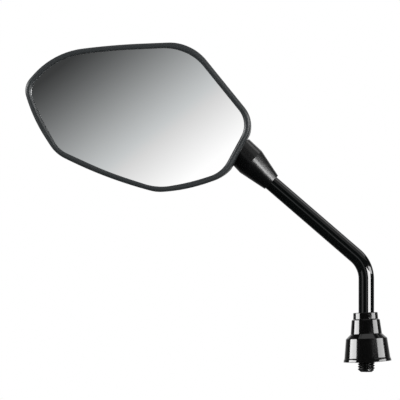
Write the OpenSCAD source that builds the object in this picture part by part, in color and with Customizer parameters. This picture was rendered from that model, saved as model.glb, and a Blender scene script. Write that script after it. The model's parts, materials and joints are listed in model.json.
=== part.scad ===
/* [Mirror head] */
// Width of the head across the drawn outline
head_w = 135; // [130:0.5:142]
// Height of the head across the drawn outline
head_h = 89.5; // [86:0.5:95]
// Depth of the rear shell behind the parting line
shell_depth = 34.5; // [34:0.5:38]
// Wall of the rear shell
shell_wall = 2.2; // [2:0.1:2.6]
// Distance from the pivot centre forward to the parting line
parting_front = 16; // [16:0.5:18]
// Height of the bezel in front of the parting line
bezel_rise = 6.3; // [6:0.1:7.5]
// Height of the rounded crown on the bezel's face
bezel_crown = 2.4; // [1.8:0.1:2.8]
// Wall of the bezel skirt that laps over the shell
skirt_wall = 1; // [0.8:0.05:1.1]
// Height of the shell's step inside the skirt
step_h = 0.9; // [0.6:0.1:1]
// Share of the outline that stays flat on the back
back_share = 0.34; // [0.25:0.01:0.45]
// Swell of the flank around the neck
neck_swell = 2.6; // [0:0.1:3.5]

/* [Glass] */
// Thickness of the mirror glass
glass_t = 2; // [1.8:0.1:2.2]
// Radius of curvature of the convex glass
glass_curve_r = 1200; // [1000:50:1400]
// Width of glass held under the bezel's lip
glass_lap = 1.2; // [1:0.1:1.3]
// Thickness of the bezel's lip over the glass
lip_t = 0.5; // [0.4:0.1:0.8]
// Distance of the glass's middle behind the bezel's crown
glass_set_back = 1.4; // [1.2:0.1:1.6]
// Thickness of the carrier plate
carrier_t = 1.8; // [1.5:0.1:2]
// Distance from the opening's edge in to the carrier and the foam pad
pad_inset = 3; // [2:0.5:6]
// Thickness of the foam pad at the middle of the glass
pad_t = 3.4; // [3:0.1:3.8]

/* [Stem] */
// Diameter of the stem rod
rod_d = 9.2; // [8.8:0.1:9.3]
// Outside diameter of the mounting thread
thread_d = 10; // [10:0.1:10.2]
// Length of thread below the lock nut
thread_below = 14.5; // [12:0.5:20]
// Length of thread above the lock nut's seat
thread_above = 10; // [9:0.5:12]
// Diameter of the flat end of the thread
thread_tip_d = 6; // [5:0.5:8]
// Height of the bend's corner above the lock nut's seat
corner_h = 49.5; // [49:0.5:70]
// Bend radius of the rod's centre line
bend_r = 18.5; // [16:0.5:19]
// Slope of the upper arm above the horizontal
arm_angle = 40.8; // [38:0.2:43]
// Length of the upper arm from the corner to the neck's kink
arm_len = 75.4; // [65:0.5:90]
// Slope of the neck above the horizontal
neck_angle = 45; // [44:0.5:48]
// Length from the neck's kink to the pivot centre
neck_len = 37; // [36:0.5:42]
// Radius of the kink's centre line
kink_r = 40; // [30:1:50]

/* [Ball pivot] */
// Diameter of the pivot ball
ball_d = 14; // [13.6:0.1:14.2]
// Diameter of the stem's neck behind the ball
waist_d = 6.4; // [6:0.1:6.6]
// Diameter of the spigot that carries the ball
spigot_d = 5; // [4.5:0.1:5.4]
// Thickness of the nylon liners
liner_t = 0.9; // [0.8:0.05:1]
// Running gap on each side of a liner
liner_gap = 0.05; // [0.03:0.01:0.08]
// Outside diameter of the bracket's round nose
nose_d = 24; // [23.6:0.1:24.4]
// Thickness of the bracket's flange
flange_t = 5; // [4.5:0.1:6]
// Greatest tilt of the ball pivot in any direction
tilt_max = 14.2; // [12:0.2:14.4]
// Gap that keeps moving pieces apart
move_gap = 0.3; // [0.2:0.05:0.4]
// Distance that the flange reaches past the pocket's bore
flange_reach = 1.6; // [1.4:0.1:1.7]
// Radius of the pocket that the neck boot tilts in
pocket_r = 13; // [12.8:0.1:13.2]
// Wall round the pocket
pocket_wall = 1.9; // [1.6:0.1:2]
// Distance from the pivot centre to the pocket's floor
pocket_floor = 5.5; // [5:0.1:5.8]

/* [Neck boot] */
// Diameter of the boot at its knee
knee_d = 17.9; // [17:0.1:18]
// Diameter of the boot at the head end
rim_d = 17.2; // [16.6:0.1:17.8]
// Diameter of the boot's mouth on the stem
mouth_d = 10.6; // [10.4:0.1:11.4]
// Length of the boot's cone from knee to mouth
cone_len = 17; // [15:0.5:18]
// Wall of the boot's band
band_wall = 1.5; // [1.2:0.1:1.8]
// Gap between a boot and the rod that it grips
grip_gap = 0.05; // [0.02:0.01:0.1]

/* [Base boot] */
// Height of the base boot's top above the lock nut's seat
boot_top = 20.9; // [20:0.1:22]
// Distance that the lip hangs below the lock nut's seat
boot_drop = 8.5; // [6:0.5:9]
// Diameter at the lip
lip_d = 28.3; // [27.5:0.1:30]
// Diameter at the foot of the large cone
foot_d = 27.2; // [26.5:0.1:27.4]
// Diameter at the shoulder of the large cone
shoulder_d = 24.2; // [24:0.1:26]
// Diameter of the middle ring at its foot
middle_d = 18.3; // [17:0.1:19]
// Diameter of the top ring
collar_d = 14.5; // [13.5:0.1:15]
// Wall of the base boot
boot_wall = 1.9; // [1.6:0.1:2.2]
// Lean of the base boot on the stem
boot_lean = 2.5; // [0:0.1:2.8]
// Distance that the base boot's top sits off the stem's axis
boot_shift = 0.4; // [0:0.1:0.5]

/* [Fasteners] */
// Width across flats of the lock nut
nut_af = 14; // [13:0.5:14]
// Height of the lock nut
nut_h = 6; // [5:0.5:6]
// Diameter of the bracket screws
bracket_screw_d = 3; // [2.5:0.1:3.2]
// Length of the bracket screws under the head
bracket_screw_len = 9; // [8:0.5:9.5]
// Distance of the bracket screws from the neck's axis
bracket_screw_at = 12.4; // [12.2:0.1:12.6]
// Diameter of the clamp screws
clamp_screw_d = 4; // [3.5:0.1:4.2]
// Distance of the clamp screws from the neck's axis
clamp_screw_at = 11.5; // [11.3:0.1:11.8]
// Length of the compressed clamp springs
clamp_spring_len = 9; // [8:0.5:12]
// Wire diameter of the clamp springs
clamp_wire_d = 1; // [0.8:0.1:1.1]
// Turns of a clamp spring
clamp_turns = 4; // [3:1:4]
// Diameter of the carrier screws
carrier_screw_d = 3.5; // [3:0.1:3.8]
// Length of the carrier screws
carrier_screw_len = 12; // [10:0.5:14]

/* [Hidden] */
$fn = 64;

// A small length that carries cuts past a face
over = 1;
// Smallest gap between pieces of one body that touch
seat_gap = 0.02;
// Clearance on the radius of a screw's through hole
screw_gap = 0.2;
// Depth that a screw's hole runs on past its end
hole_spare = 0.4;
// Gap between the bezel's skirt and the shell's step
skirt_gap = 0.15;
// Clearance round the edge of the glass
glass_gap = 0.2;
// Clearance between the glass and the bezel's lip
lip_gap = 0.16;
// Clearance between the glass and its foam pad
foam_gap = 0.12;
// Thickness and height of the ribs on the shell's back wall
rib_t = 1.6;
rib_h = 22;
// Distance that the nose's foot draws in where it enters the flange, and its clearance in the shell
nose_foot = 1.8;
nose_gap = 0.2;
// Distance that a clamp screw ends short of the flange's front face
clamp_short = 1.5;
// Clearance between the bracket's flats and the shell's walls
wall_clear = 0.6;
// Share of the carrier's thickness that the countersinks take
sink_share = 0.9;
// Rounding of the neck boot's knee, across and along
knee_round = [0.35, 1.2];

// Radius that the thread loses above the seat, where it is drawn at the depth that the nut's thread reaches
engaged_drop = 0.3;
engaged_r = thread_d / 2 - engaged_drop;
rod_r = rod_d / 2;
tip_len = 0.4 * (thread_d - thread_tip_d);
// Bending draws the rod thinner by this much on its radius
bend_thinning = 0.02;
// Length by which a bent stretch runs into the straights
bend_lap = 0.2;
bend_turn = 90 - arm_angle;
bend_tangent = bend_r * tan(bend_turn / 2);
kink_turn = neck_angle - arm_angle;
kink_tangent = kink_r * tan(kink_turn / 2);
arm_dir = [-cos(arm_angle), sin(arm_angle)];
neck_dir = [-cos(neck_angle), sin(neck_angle)];
kink = [0, corner_h] + arm_len * arm_dir;
pivot = kink + neck_len * neck_dir;

// Levels across the depth of the head, from the back to the front
back_y = shell_depth - parting_front;
parting_y = -parting_front;
step_y = parting_y - step_h;
crown_y = parting_y - bezel_rise;
bezel_side_y = crown_y + bezel_crown;
glass_front_y = crown_y + glass_set_back;
glass_back_y = glass_front_y + glass_t;
carrier_front_y = glass_back_y + pad_t;
carrier_back_y = carrier_front_y + carrier_t;

// Corners of the head's outline from the pivot centre, each with its radius
head_corners = [[-122.5, 31.5, 11], [-116.5, 12, 96], [-103, -9, 22], [-72, -24, 262],
    [-42.5, -32, 24], [-23, -30.5, 100], [-0.5, -22, 22], [17, 10.5, 16],
    [-17, 52.5, 28], [-29.5, 58, 27], [-67.5, 56.5, 430], [-104.5, 52, 47]];
// Corners of the bezel's opening, one for each corner of the outline
opening_corners = [[-119, 30.5, 10], [-112, 13, 150], [-101, -6.5, 16], [-71.5, -20, 224],
    [-42, -29.5, 33], [-22, -26, 128], [-3.5, -20, 18], [13, 10, 14],
    [-18.5, 49.5, 28], [-32.5, 55, 32], [-71, 53, 321], [-101.5, 49, 42]];
// Steps along each rounded corner
corner_steps = 5;
// Scale that brings the drawn outline to the head's width and height
drawn = drawn_outline(head_corners, 0);
head_scale = [head_w / span(drawn, 0), head_h / span(drawn, 1)];
// Middle of the glass, which the convex face is centred on
glass_mid = to_head([-53, 13]);
// Point that the shell's rings draw in to, which sets its deepest place
shell_mid = to_head([-27, 9]);
// Direction from that point to the neck
neck_side = -27;

// Angles of the shell's rings, from the parting line to the back
shell_lifts = [0, 12, 24, 36, 48, 60, 72, 82];

// Places of the carrier's bosses from the pivot centre
boss_at = [for (p = [[-103, 27], [-84, -4], [-70, 38], [-44, -17], [-28, 37]]) to_head(p)];
boss_r = 4;

ball_r = ball_d / 2;
liner_in_r = ball_r + liner_gap;
liner_out_r = liner_in_r + liner_t;
socket_r = liner_out_r + liner_gap;
nose_r = nose_d / 2;
waist_r = waist_d / 2;
waist_end = nose_r + move_gap;
shoulder_len = 2;
ball_flat = sqrt(ball_r * ball_r - waist_r * waist_r);
opening_in_r = socket_r * sin(asin(waist_r / socket_r) + tilt_max) + move_gap;
opening_out_r = nose_r * sin(asin(waist_r / nose_r) + tilt_max) + move_gap;
opening_edge = asin(opening_in_r / socket_r) + 2;
flange_r = pocket_r + flange_reach;
// Room for the bracket between the shell's walls, on each side of the neck's axis
wall_room = back_y - shell_wall - wall_clear;
bracket_head_r = bracket_screw_d * 0.75;
// Turn of the bracket screws from the clamp screws: halfway, or as far as the walls leave room
bracket_turn = asin(min(bracket_screw_at * sin(45), wall_room - bracket_head_r - screw_gap) / bracket_screw_at);
cap_gap = 0.8;
cap_wall = 3;
ear_t = 3;
ear_back = flange_t + cap_gap + ear_t;
washer_t = 0.8;
clamp_head_at = ear_back + clamp_spring_len + washer_t;
clamp_screw_len = clamp_head_at - clamp_short;
boot_end_r = nose_r + move_gap;
knee_at = neck_len - cone_len;

// Unit vector along v
function unit(v) = v / norm(v);
// Angle of v, in degrees
function heading(v) = atan2(v[1], v[0]);
// Signed turn from angle a to angle b
function turn(a, b) = (b - a + 540) % 360 - 180;

// Points of one rounded corner at p between a and b, drawn in by the distance inset
function corner_arc(a, p, b, r, inset) =
    let (
        u = unit(a - p),
        w = unit(b - p),
        half = acos(u * w) / 2,
        centre = p + unit(u + w) * r / sin(half),
        from = heading(p + u * r / tan(half) - centre),
        sweep = turn(from, heading(p + w * r / tan(half) - centre))
    )
    [for (i = [0:corner_steps])
        let (q = from + sweep * i / corner_steps)
        centre + (r - inset) * [cos(q), sin(q)]];

function xz(c) = [c[0], c[1]];

// Closed outline of rounded corners as they are drawn above, drawn in by inset
function drawn_outline(corners, inset) =
    let (n = len(corners))
    [for (i = [0:n - 1])
        for (p = corner_arc(xz(corners[(i + n - 1) % n]), xz(corners[i]),
                xz(corners[(i + 1) % n]), corners[i][2], inset))
            p];

// Size of a list of flat points along one axis
function span(points, axis) =
    max([for (p = points) p[axis]]) - min([for (p = points) p[axis]]);

// Drawn place on the head as it is sized
function to_head(p) = [p[0] * head_scale[0], p[1] * head_scale[1]];

// Closed outline of rounded corners on the head, drawn in by inset
function outline(corners, inset) =
    [for (p = drawn_outline(corners, inset)) to_head(p)];

// Depth of the glass's front face at a flat point
function glass_y(p) =
    glass_front_y + glass_curve_r - sqrt(pow(glass_curve_r, 2) - pow(norm(p - glass_mid), 2));

// Places a list of flat points on the front of the glass, drawn forward by the distance ahead
function ring_on_glass(points, ahead) =
    [for (p = points) [pivot[0] + p[0], glass_y(p) - ahead, pivot[1] + p[1]]];

// Places a list of flat points at the depth y
function ring_at(points, y) = [for (p = points) [pivot[0] + p[0], y, pivot[1] + p[1]]];

// How strongly a direction belongs to the neck side of the shell
function neck_share(p) =
    pow(max(0, cos(heading(p - shell_mid) - neck_side)), 4);

// Ring of the domed shell at the angle lift, 0 at the parting line and 90 on the back
function shell_ring(points, depth, lift) =
    ring_at([for (p = points)
        let (
            share = neck_share(p),
            shrink = back_share + (1 - back_share) * pow(cos(lift), 0.8 - 0.6 * share)
        )
        shell_mid + shrink * (p - shell_mid)
            + neck_swell * share * sin(2 * lift) * [cos(neck_side), sin(neck_side)]],
        parting_y + depth * sin(lift));

// Solid through rings with the same number of points, capped at both ends
module loft(rings) {
    n = len(rings[0]);
    m = len(rings);
    polyhedron(
        points = [for (r = rings) for (p = r) p],
        faces = concat(
            [[for (i = [n - 1:-1:0]) i]],
            [[for (i = [0:n - 1]) (m - 1) * n + i]],
            [for (j = [0:m - 2]) for (i = [0:n - 1])
                [j * n + i, (j + 1) * n + (i + 1) % n, (j + 1) * n + i]],
            [for (j = [0:m - 2]) for (i = [0:n - 1])
                [j * n + i, j * n + (i + 1) % n, (j + 1) * n + (i + 1) % n]]),
        convexity = 6);
}

// Solid through rings that close on themselves, like a tyre
module closed_loft(rings) {
    n = len(rings[0]);
    m = len(rings);
    polyhedron(
        points = [for (r = rings) for (p = r) p],
        faces = concat(
            [for (j = [0:m - 1]) for (i = [0:n - 1])
                [j * n + i, ((j + 1) % m) * n + i, ((j + 1) % m) * n + (i + 1) % n]],
            [for (j = [0:m - 1]) for (i = [0:n - 1])
                [j * n + i, ((j + 1) % m) * n + (i + 1) % n, j * n + (i + 1) % n]]),
        convexity = 6);
}

// Plate with the given outline between the depths y0 and y1
module plate(points, y0, y1) {
    translate([pivot[0], y1, pivot[1]])
        rotate([90, 0, 0])
            linear_extrude(y1 - y0)
                polygon(points);
}

// Round bar along the depth between y0 and y1, at a place from the pivot centre
module bar_y(at, r, y0, y1) {
    translate([pivot[0] + at[0], y1, pivot[1] + at[1]])
        rotate([90, 0, 0])
            cylinder(r = r, h = y1 - y0);
}

// Frame with its origin at the pivot centre and its Z axis out along the neck
module along_neck() {
    translate([pivot[0], 0, pivot[1]])
        rotate([0, 90 + neck_angle, 0])
            children();
}

// Rounded lump of the convex glass face, drawn back by the distance down
module glass_ball(down) {
    translate([pivot[0] + glass_mid[0], glass_front_y + glass_curve_r, pivot[1] + glass_mid[1]])
        sphere(r = glass_curve_r - down, $fn = 360);
}

// Foam behind the glass, whose front follows the glass's back in short straight steps
module foam_dish() {
    reach = 90;
    steps = 9;
    translate([pivot[0] + glass_mid[0], glass_back_y + foam_gap, pivot[1] + glass_mid[1]])
        rotate([-90, 0, 0])
            rotate_extrude($fn = 120)
                polygon(concat(
                    [for (i = [0:steps])
                        let (r = reach * i / steps)
                        [r, glass_curve_r - glass_t - sqrt(pow(glass_curve_r - glass_t, 2) - r * r)]],
                    [[reach, pad_t + 10], [0, pad_t + 10]]));
}

// Two clamp screw places, above and below the ball
module clamp_places() {
    for (side = [0, 180])
        rotate([0, 0, side])
            translate([clamp_screw_at, 0, 0])
                children();
}

// Four bracket screw places between the clamp screws
module bracket_places() {
    for (side = [0, 180])
        for (turn = [-bracket_turn, bracket_turn])
            rotate([0, 0, side + turn])
                translate([bracket_screw_at, 0, 0])
                    children();
}

// Head of a pan head screw with its hexagon socket, standing down from z = 0
module screw_head(r, h) {
    difference() {
        rotate_extrude()
            polygon([[0, 0], [r, 0], [r, -h * 0.6], [r * 0.75, -h], [0, -h]]);
        translate([0, 0, -h - over])
            cylinder(r = r * 0.45, h = h * 0.6 + over, $fn = 6);
    }
}

// Coil spring round the Z axis from z = 0 to z = -length, with a close turn at each end
module coil_spring(mean_r, wire_r, length, turns) {
    sides = 6;
    steps = 12;
    close_pitch = 2.1 * wire_r;
    open_pitch = (length - 2 * wire_r - 2 * close_pitch) / turns;
    rings = [for (i = [0:(turns + 2) * steps])
        let (
            q = i / steps,
            close_turns = min(q, 1) + max(q - turns - 1, 0),
            z = -wire_r - close_pitch * close_turns - open_pitch * (q - close_turns)
        )
        [for (k = [0:sides - 1])
            let (a = 360 * k / sides, r = mean_r + wire_r * cos(a))
            [r * cos(360 * q), r * sin(360 * q), z + wire_r * sin(a)]]];
    loft(rings);
}

// Bent stretch of the rod round the origin, which runs a little way into the straights at its ends
module bent_rod(r, from, sweep) {
    lap = bend_lap / r * 180 / PI;
    rotate([90, 0, 0])
        rotate([0, 0, from - lap])
            rotate_extrude(angle = sweep + 2 * lap)
                translate([r, 0])
                    circle(r = rod_r - bend_thinning);
}

module stem_rod() {
    color([0.06, 0.06, 0.06]) {
        rotate_extrude()
            polygon([[0, -thread_below], [thread_tip_d / 2, -thread_below],
                [thread_d / 2, tip_len - thread_below], [thread_d / 2, -seat_gap],
                [engaged_r, -seat_gap], [engaged_r, thread_above],
                [rod_r, thread_above + 1],
                [rod_r, corner_h - bend_tangent], [0, corner_h - bend_tangent]]);
        translate([-bend_r, 0, corner_h - bend_tangent])
            bent_rod(bend_r, 0, bend_turn);
        translate([arm_dir[0] * bend_tangent, 0, corner_h + arm_dir[1] * bend_tangent])
            rotate([0, arm_angle - 90, 0])
                cylinder(r = rod_r, h = arm_len - bend_tangent - kink_tangent);
        translate([kink[0] - arm_dir[0] * kink_tangent + kink_r * sin(arm_angle), 0,
                kink[1] - arm_dir[1] * kink_tangent + kink_r * cos(arm_angle)])
            bent_rod(kink_r, 270 - neck_angle, kink_turn);
        along_neck()
            rotate_extrude()
                polygon([[0, -ball_flat], [spigot_d / 2, -ball_flat], [spigot_d / 2, ball_flat],
                    [waist_r, ball_flat], [waist_r, waist_end],
                    [rod_r, waist_end + shoulder_len], [rod_r, neck_len - kink_tangent],
                    [0, neck_len - kink_tangent]]);
    }
}

module pivot_ball() {
    color([0.75, 0.75, 0.77])
        along_neck()
            difference() {
                intersection() {
                    sphere(r = ball_r);
                    translate([0, 0, -ball_flat + seat_gap])
                        cylinder(r = ball_d, h = 2 * ball_flat - 2 * seat_gap);
                }
                translate([0, 0, -ball_d])
                    cylinder(r = spigot_d / 2 + seat_gap, h = 2 * ball_d);
            }
}

module neck_boot() {
    inner_r = knee_d / 2 - band_wall;
    color([0.16, 0.17, 0.18])
        along_neck()
            difference() {
                rotate_extrude()
                    polygon([[rod_r + grip_gap, knee_at + 7], [inner_r, knee_at - 1], [inner_r, 0],
                        [rim_d / 2, 0], [rim_d / 2, boot_end_r * 0.8],
                        [knee_d / 2, knee_at - knee_round[1]], [knee_d / 2 - knee_round[0], knee_at],
                        [mouth_d / 2, neck_len], [rod_r + 2 * grip_gap, neck_len]]);
                sphere(r = boot_end_r);
            }
}

module lock_nut() {
    nut_corner = nut_af / 2 / cos(30);
    color([0.25, 0.25, 0.26])
        difference() {
            intersection() {
                cylinder(r = nut_corner, h = nut_h, $fn = 6);
                rotate_extrude()
                    polygon([[0, 0], [nut_af / 2, 0], [nut_corner + 0.1, 0.7],
                        [nut_corner + 0.1, nut_h - 0.7], [nut_af / 2, nut_h], [0, nut_h]]);
            }
            translate([0, 0, -over])
                cylinder(r = engaged_r + seat_gap, h = nut_h + 2 * over);
        }
}

module base_boot() {
    cavity_top = nut_h + 0.8;
    color([0.04, 0.04, 0.04])
        difference() {
            translate([-boot_shift, 0, boot_top])
                rotate([0, -boot_lean, 0])
                    translate([0, 0, -boot_top])
                        difference() {
                            rotate_extrude()
                                polygon([[0, -boot_drop], [lip_d / 2 - 0.5, -boot_drop],
                                    [lip_d / 2, 0.5 - boot_drop], [lip_d / 2 - 0.1, 1.6 - boot_drop],
                                    [foot_d / 2, 2.2 - boot_drop], [shoulder_d / 2, 4.6],
                                    [shoulder_d / 2 - 0.8, 5.8], [middle_d / 2 + 0.9, 7.4],
                                    [middle_d / 2, 8.4], [middle_d / 2 - 0.9, 15.6],
                                    [middle_d / 2 - 1.3, 16.2], [collar_d / 2, 16.5],
                                    [collar_d / 2 - 0.2, boot_top - 0.4],
                                    [collar_d / 2 - 0.6, boot_top], [0, boot_top]]);
                            rotate_extrude()
                                polygon([[0, -boot_drop - over],
                                    [foot_d / 2 - boot_wall, -boot_drop - over],
                                    [shoulder_d / 2 - boot_wall, 3],
                                    [nut_af / 2 / cos(30) + 0.8, cavity_top],
                                    [thread_d / 2 + 0.6, cavity_top + 2],
                                    [thread_d / 2 + 0.6, thread_above + 3],
                                    [0, thread_above + 3]]);
                        }
            translate([0, 0, -boot_drop - over])
                cylinder(r = rod_r + grip_gap, h = boot_top + boot_drop + 2 * over);
        }
}

// Half of a spherical shell between two angles from the Z axis
module ball_band(r_in, r_out, from, to) {
    difference() {
        sphere(r = r_out);
        sphere(r = r_in);
        if (from > 0)
            cylinder(r1 = 0, r2 = 2 * r_out * tan(from), h = 2 * r_out);
        translate([0, 0, r_out * cos(to) - 4 * r_out])
            cylinder(r = 2 * r_out, h = 4 * r_out);
    }
}

module front_liner() {
    color([0.9, 0.9, 0.86])
        along_neck()
            ball_band(liner_in_r, liner_out_r, opening_edge, 88);
}

module rear_liner() {
    color([0.86, 0.88, 0.9])
        along_neck()
            mirror([0, 0, 1])
                ball_band(liner_in_r, liner_out_r, 30, 80);
}

module pivot_bracket() {
    color([0.6, 0.6, 0.62])
        along_neck()
            difference() {
                union() {
                    intersection() {
                        translate([0, 0, -flange_t])
                            cylinder(r = flange_r, h = flange_t);
                        translate([-flange_r - over, -wall_room, -flange_t - over])
                            cube([2 * flange_r + 2 * over, 2 * wall_room, flange_t + 2 * over]);
                    }
                    intersection() {
                        sphere(r = nose_r);
                        translate([0, 0, -over])
                            cylinder(r = nose_r - nose_foot, h = nose_d);
                    }
                }
                sphere(r = socket_r);
                translate([0, 0, -flange_t - over])
                    cylinder(r = socket_r, h = flange_t + over);
                cylinder(r1 = opening_in_r - 0.6, r2 = opening_out_r + 0.5, h = nose_r + over);
                bracket_places()
                    translate([0, 0, -flange_t - over])
                        cylinder(r = bracket_screw_d / 2 + screw_gap, h = flange_t + 2 * over);
                clamp_places()
                    translate([0, 0, -flange_t - over])
                        cylinder(r = clamp_screw_d / 2 + seat_gap, h = flange_t + 2 * over);
            }
}

module bracket_screws() {
    color([0.7, 0.7, 0.66])
        along_neck()
            bracket_places() {
                translate([0, 0, -flange_t - seat_gap])
                    screw_head(bracket_head_r, bracket_screw_d * 0.7);
                translate([0, 0, -flange_t - seat_gap])
                    cylinder(r = bracket_screw_d / 2, h = bracket_screw_len);
            }
}

module clamp_cap() {
    cap_front = flange_t + cap_gap;
    color([0.55, 0.55, 0.58])
        along_neck()
            difference() {
                union() {
                    intersection() {
                        sphere(r = socket_r + cap_wall);
                        translate([0, 0, -cap_front - nose_d])
                            cylinder(r = nose_d, h = nose_d);
                    }
                    hull()
                        clamp_places()
                            translate([0, 0, -ear_back])
                                cylinder(r = clamp_screw_d, h = ear_t, $fn = 32);
                    translate([0, 0, -cap_front])
                        cylinder(r = socket_r - seat_gap * 4, h = cap_gap + 2.6);
                }
                sphere(r = socket_r);
                clamp_places()
                    translate([0, 0, -ear_back - over])
                        cylinder(r = clamp_screw_d / 2 + screw_gap, h = ear_t + 2 * over);
            }
}

module clamp_springs() {
    color([0.8, 0.8, 0.8])
        along_neck()
            clamp_places()
                translate([0, 0, -ear_back - seat_gap])
                    coil_spring(clamp_screw_d / 2 + clamp_wire_d / 2 + 0.4, clamp_wire_d / 2,
                        clamp_spring_len - 2 * seat_gap, clamp_turns);
}

module clamp_washers() {
    color([0.75, 0.75, 0.75])
        along_neck()
            clamp_places()
                translate([0, 0, -clamp_head_at + seat_gap])
                    difference() {
                        cylinder(r = clamp_screw_d, h = washer_t - seat_gap);
                        translate([0, 0, -over])
                            cylinder(r = clamp_screw_d / 2 + screw_gap, h = washer_t + 2 * over);
                    }
}

module clamp_screws() {
    color([0.72, 0.72, 0.7])
        along_neck()
            clamp_places() {
                translate([0, 0, -clamp_head_at])
                    screw_head(clamp_screw_d * 0.8, clamp_screw_d * 0.7);
                translate([0, 0, -clamp_head_at])
                    cylinder(r = clamp_screw_d / 2, h = clamp_screw_len);
            }
}

// Wall of the shell as one folded loft, from the cavity's floor round the rim to the back
module shell_skin() {
    outer = outline(head_corners, 0);
    inner = outline(head_corners, shell_wall);
    step = outline(head_corners, skirt_wall + skirt_gap);
    inner_depth = shell_depth - shell_wall;
    last = len(shell_lifts) - 1;
    loft(concat(
        [for (i = [last:-1:0]) shell_ring(inner, inner_depth, shell_lifts[i])],
        [ring_at(inner, step_y), ring_at(step, step_y), ring_at(step, parting_y)],
        [for (a = shell_lifts) shell_ring(outer, shell_depth, a)]));
}

// Space inside the middle of the shell's wall, which the bosses and ribs end in
module shell_core() {
    middle = outline(head_corners, shell_wall / 2);
    loft([for (a = shell_lifts) shell_ring(middle, shell_depth - shell_wall / 2, a)]);
}

module rear_shell() {
    ring_len = 60;
    color([0.19, 0.2, 0.21])
        difference() {
            union() {
                shell_skin();
                intersection() {
                    shell_core();
                    union() {
                        for (at = boss_at)
                            bar_y(at, boss_r, carrier_back_y + seat_gap, back_y);
                        for (i = [0:len(boss_at) - 2])
                            rib(boss_at[i], boss_at[i + 1]);
                        along_neck()
                            translate([0, 0, seat_gap])
                                cylinder(r = pocket_r + pocket_wall, h = ring_len);
                    }
                }
            }
            along_neck() {
                translate([0, 0, pocket_floor])
                    cylinder(r = pocket_r, h = ring_len);
                translate([0, 0, -over])
                    cylinder(r = nose_r - nose_foot + nose_gap, h = ring_len);
                bracket_places()
                    translate([0, 0, -over])
                        cylinder(r = bracket_screw_d / 2 + seat_gap,
                            h = bracket_screw_len - flange_t + over + hole_spare);
                bracket_relief();
            }
            for (at = boss_at)
                bar_y(at, carrier_screw_d / 2 + seat_gap, carrier_back_y - over,
                    carrier_front_y + carrier_screw_len + hole_spare);
        }
}

// Room that the bracket's flange and its screws take out of the flank where the shell curves in
module bracket_relief() {
    relief_r = flange_r + wall_clear;
    inside = back_y - shell_wall;
    intersection() {
        translate([0, 0, -flange_t - bracket_screw_d])
            cylinder(r = relief_r, h = flange_t + bracket_screw_d);
        translate([-relief_r - over, -inside, -flange_t - bracket_screw_d])
            cube([2 * relief_r + 2 * over, 2 * inside, flange_t + bracket_screw_d]);
    }
}

// Stiffening rib on the back wall between two places
module rib(a, b) {
    d = b - a;
    translate([pivot[0] + a[0], back_y + over, pivot[1] + a[1]])
        rotate([0, -heading(d), 0])
            translate([0, -rib_h, -rib_t / 2])
                cube([norm(d), rib_h, rib_t]);
}

module glass_carrier() {
    color([0.3, 0.3, 0.32])
        difference() {
            plate(outline(opening_corners, pad_inset), carrier_front_y + seat_gap, carrier_back_y);
            along_neck()
                translate([-18, -40, -10])
                    cube([36, 80, 80]);
            for (at = boss_at) {
                bar_y(at, carrier_screw_d / 2 + screw_gap, carrier_front_y - over, carrier_back_y + over);
                countersink(at, 0.1);
            }
        }
}

// Cone of a countersunk head, flush with the carrier's front
module countersink(at, grow) {
    translate([pivot[0] + at[0], carrier_front_y + seat_gap, pivot[1] + at[1]])
        rotate([-90, 0, 0])
            cylinder(r1 = carrier_screw_d + grow, r2 = carrier_screw_d / 2 + grow, h = carrier_t * sink_share);
}

module carrier_screws() {
    color([0.7, 0.7, 0.66])
        for (at = boss_at)
            difference() {
                union() {
                    countersink(at, 0);
                    bar_y(at, carrier_screw_d / 2, carrier_front_y + over, carrier_front_y + carrier_screw_len);
                }
                translate([pivot[0] + at[0], carrier_front_y + 1.2, pivot[1] + at[1]])
                    rotate([90, 0, 0])
                        cylinder(r = carrier_screw_d * 0.35, h = over + 1, $fn = 6);
            }
}

module foam_pad() {
    color([0.12, 0.12, 0.12])
        intersection() {
            plate(outline(opening_corners, pad_inset), glass_front_y, carrier_front_y);
            foam_dish();
        }
}

module mirror_glass() {
    color([0.8, 0.83, 0.85])
        difference() {
            intersection() {
                plate(outline(opening_corners, -glass_lap), glass_front_y - over, carrier_front_y);
                glass_ball(0);
            }
            glass_ball(glass_t);
        }
}

// One ring of the bezel's rounded face, at the angle a from its outer edge
function bezel_ring(outer, opening, a) =
    let (u = (1 - cos(a)) / 2)
    [for (k = [0:len(outer) - 1])
        let (
            p = outer[k] + u * (opening[k] - outer[k]),
            edge_y = glass_y(opening[k]) - lip_t - lip_gap,
            side = bezel_side_y + u * (edge_y - bezel_side_y),
            crown = bezel_crown - u * (bezel_side_y - edge_y) / 2
        )
        [pivot[0] + p[0], side - crown * sin(a), pivot[1] + p[1]]];

module bezel() {
    outer = outline(head_corners, 0);
    opening = outline(opening_corners, 0);
    recess = outline(opening_corners, -glass_lap - glass_gap);
    skirt = outline(head_corners, skirt_wall);
    face_steps = 10;
    color([0.19, 0.2, 0.21])
        closed_loft(concat(
            [ring_at(outer, parting_y)],
            [for (i = [0:face_steps]) bezel_ring(outer, opening, 180 * i / face_steps)],
            [ring_on_glass(opening, lip_gap), ring_on_glass(recess, lip_gap),
                ring_at(recess, step_y - seat_gap), ring_at(skirt, step_y - seat_gap),
                ring_at(skirt, parting_y)]));
}

stem_rod();
pivot_ball();
neck_boot();
lock_nut();
base_boot();
front_liner();
rear_liner();
pivot_bracket();
bracket_screws();
clamp_cap();
clamp_springs();
clamp_washers();
clamp_screws();
rear_shell();
glass_carrier();
carrier_screws();
foam_pad();
mirror_glass();
bezel();
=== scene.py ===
import json
import math

import bmesh
import bpy
from mathutils import Matrix, Vector


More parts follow.
